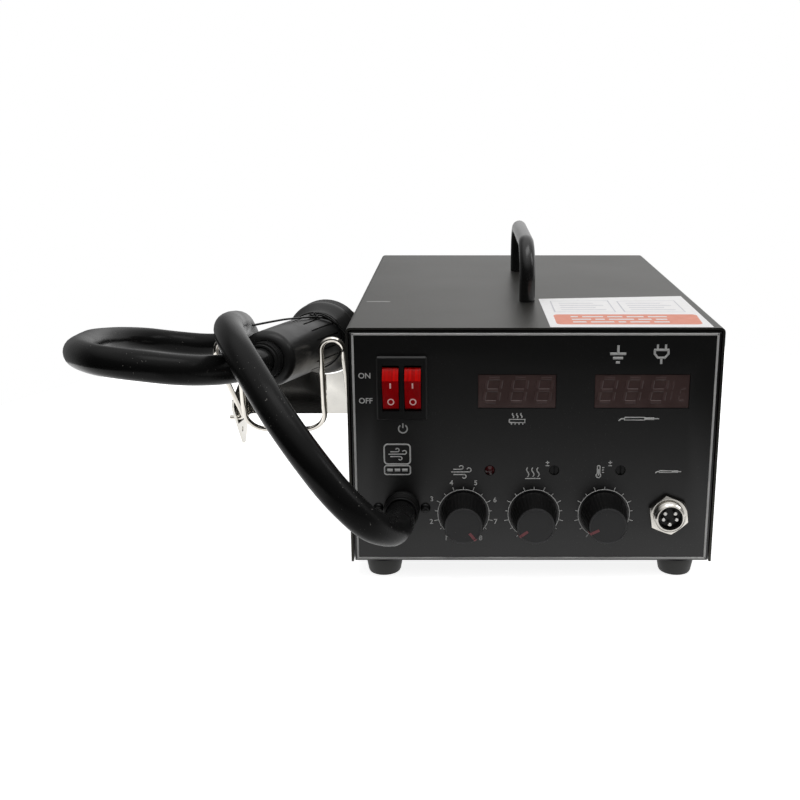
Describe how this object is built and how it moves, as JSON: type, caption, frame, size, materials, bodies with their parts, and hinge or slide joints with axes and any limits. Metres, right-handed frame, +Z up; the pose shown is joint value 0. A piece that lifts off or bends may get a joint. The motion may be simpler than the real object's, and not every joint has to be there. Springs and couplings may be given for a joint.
{
  "type": "hot air rework station",
  "caption": "Black sheet-steel bench box with knobs, displays and twin rockers; a hose loops to a hot air handpiece lying in a side cradle.",
  "frame": {"origin": "middle of the underside of the chassis tray", "axes": "+X to the right as seen from the front, +Y to the back, +Z up"},
  "size_m": [0.3556, 0.3293, 0.1699],
  "materials": {
    "black_powder_coat": "satin powder coat",
    "zinc_steel": "zinc plated",
    "rubber": "matte",
    "black_plastic": "satin",
    "red_plastic": "translucent gloss",
    "smoked_acrylic": "gloss",
    "grey_plastic": "matte",
    "circuit_board": "solder mask",
    "white_plastic": "matte",
    "red_lamp": "gloss",
    "nickel": "bright nickel",
    "chrome": "polished",
    "black_screw": "black oxide",
    "winding_tape": "taped",
    "cast_aluminium": "cast",
    "silicone": "satin",
    "heater_steel": "heat-tinted",
    "cord": "braided"
  },
  "bodies": {
    "station": {"chassis_tray": "black_powder_coat", "top_cover": "black_powder_coat", "carry_handle": "black_powder_coat", "handle_screw_front": "zinc_steel", "handle_screw_rear": "zinc_steel", "cover_screw_front_left": "zinc_steel", "cover_screw_front_right": "zinc_steel", "cover_screw_rear_left": "zinc_steel", "cover_screw_rear_right": "zinc_steel", "bracket_screw_front": "zinc_steel", "bracket_screw_rear": "zinc_steel", "pot_air": "zinc_steel", "pot_heat": "zinc_steel", "pot_temperature": "zinc_steel", "transformer_core": "zinc_steel", "foot_front_left": "rubber", "foot_front_right": "rubber", "foot_rear_left": "rubber", "foot_rear_right": "rubber", "air_hose": "rubber", "switch_bezel": "black_plastic", "hose_gland": "black_plastic", "mains_inlet": "black_plastic", "iron_socket_insert": "black_plastic", "display_window_left": "smoked_acrylic", "display_window_right": "smoked_acrylic", "led_digits_left": "grey_plastic", "led_digits_right": "grey_plastic", "display_board": "circuit_board", "main_board": "circuit_board", "heater_lamp": "red_lamp", "iron_socket_shell": "nickel", "iron_socket_nut": "nickel", "holder_bracket": "nickel", "holder_wire": "chrome", "gland_screw_left": "black_screw", "gland_screw_right": "black_screw", "transformer_winding": "winding_tape", "pump_body": "cast_aluminium", "heat_sink": "cast_aluminium", "air_tube": "silicone"},
    "rocker_left": {"rocker_left": "red_plastic"},
    "rocker_right": {"rocker_right": "red_plastic"},
    "air_knob": {"knob_air": "black_plastic", "pot_shaft_air": "zinc_steel"},
    "heat_knob": {"knob_heat": "black_plastic", "pot_shaft_heat": "zinc_steel"},
    "temperature_knob": {"knob_temperature": "black_plastic", "pot_shaft_temperature": "zinc_steel"},
    "left_trimmer": {"trimmer_rotor_left": "white_plastic"},
    "right_trimmer": {"trimmer_rotor_right": "white_plastic"},
    "fuse_drawer": {"fuse_drawer": "black_plastic"},
    "pump_arm": {"pump_arm": "zinc_steel"},
    "handpiece": {"grip_shell": "rubber", "grip_collar": "rubber", "hose_relief": "rubber", "heater_barrel": "heater_steel", "nozzle": "heater_steel", "tie_cord": "cord"}
  },
  "joints": [
    {"name": "rocker_left_tilt", "type": "hinge", "parent": "station", "child": "rocker_left", "pos_m": [-0.07182, -0.1145, 0.0944], "axis": [-1, 0, 0], "range_deg": [0, 29]},
    {"name": "rocker_right_tilt", "type": "hinge", "parent": "station", "child": "rocker_right", "pos_m": [-0.06078, -0.1145, 0.0944], "axis": [-1, 0, 0], "range_deg": [0, 29]},
    {"name": "air_knob_turn", "type": "hinge", "parent": "station", "child": "air_knob", "pos_m": [-0.03546, -0.1225, 0.0267], "axis": [0, 1, 0], "range_deg": [-280, 0]},
    {"name": "heat_knob_turn", "type": "hinge", "parent": "station", "child": "heat_knob", "pos_m": [0.00082, -0.1225, 0.0267], "axis": [0, 1, 0], "range_deg": [-15, 265]},
    {"name": "temperature_knob_turn", "type": "hinge", "parent": "station", "child": "temperature_knob", "pos_m": [0.03706, -0.1225, 0.0267], "axis": [0, 1, 0], "range_deg": [-25, 255]},
    {"name": "left_trimmer_turn", "type": "hinge", "parent": "station", "child": "left_trimmer", "pos_m": [0.0109, -0.1225, 0.0505], "axis": [0, 1, 0], "range_deg": [-135, 135]},
    {"name": "right_trimmer_turn", "type": "hinge", "parent": "station", "child": "right_trimmer", "pos_m": [0.0448, -0.1225, 0.0505], "axis": [0, 1, 0], "range_deg": [-135, 135]},
    {"name": "fuse_drawer_slide", "type": "slide", "parent": "station", "child": "fuse_drawer", "axis": [0, 1, 0], "range_m": [0, 0.016]},
    {"name": "pump_arm_swing", "type": "hinge", "parent": "station", "child": "pump_arm", "pos_m": [0.0415, 0.006, 0.0315], "axis": [0, 0, 1], "range_deg": [-1.2, 1.2], "stiffness_Nm_per_rad": 0.5},
    {"name": "handpiece_lift", "type": "slide", "parent": "station", "child": "handpiece", "axis": [0, 0, 1], "range_m": [0, 0.06], "deforming": ["air_hose"]}
  ]
}
